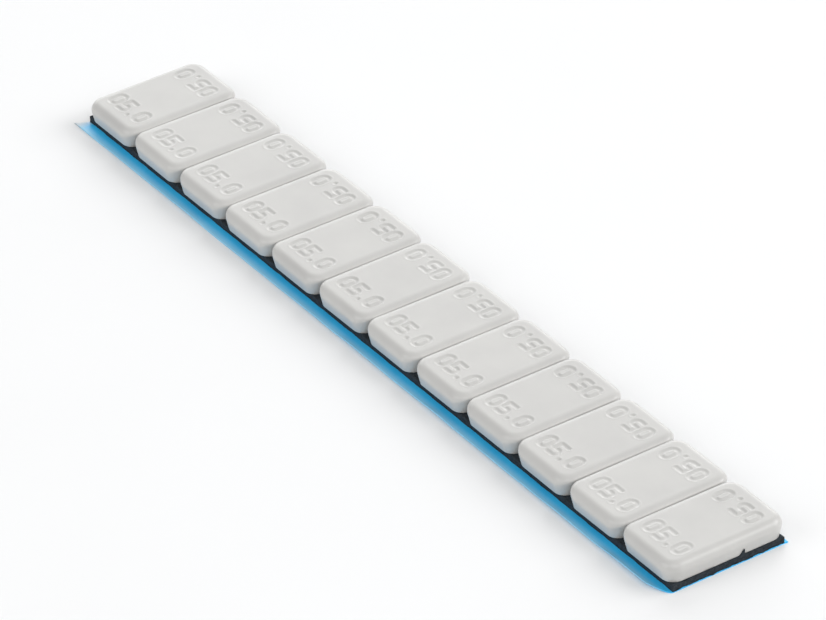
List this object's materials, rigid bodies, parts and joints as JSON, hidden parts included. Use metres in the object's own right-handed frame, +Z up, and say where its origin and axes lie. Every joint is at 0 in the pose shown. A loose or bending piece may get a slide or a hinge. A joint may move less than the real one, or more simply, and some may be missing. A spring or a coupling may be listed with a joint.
{
  "type": "wheel balance weight",
  "caption": "Flexible strip of coated steel balance weights on adhesive foam tape, with a peel-off release liner, for sticking inside a wheel rim.",
  "frame": {"origin": "middle of the strip's underside, on the release liner's outer face", "axes": "+X along the strip, -Y to the side with the liner's pull flap, +Z up from the tape to the numbered tops"},
  "size_m": [0.145, 0.0209, 0.0042],
  "materials": {
    "coated_steel": "satin light grey coating",
    "foam": "matte black closed-cell foam",
    "liner_film": "smooth blue film"
  },
  "bodies": {
    "root": {"weight_01": "coated_steel", "weight_02": "coated_steel", "weight_03": "coated_steel", "weight_04": "coated_steel", "weight_05": "coated_steel", "weight_06": "coated_steel", "weight_07": "coated_steel", "weight_08": "coated_steel", "weight_09": "coated_steel", "weight_10": "coated_steel", "weight_11": "coated_steel", "weight_12": "coated_steel", "foam_tape": "foam", "release_liner": "liner_film"}
  },
  "joints": []
}
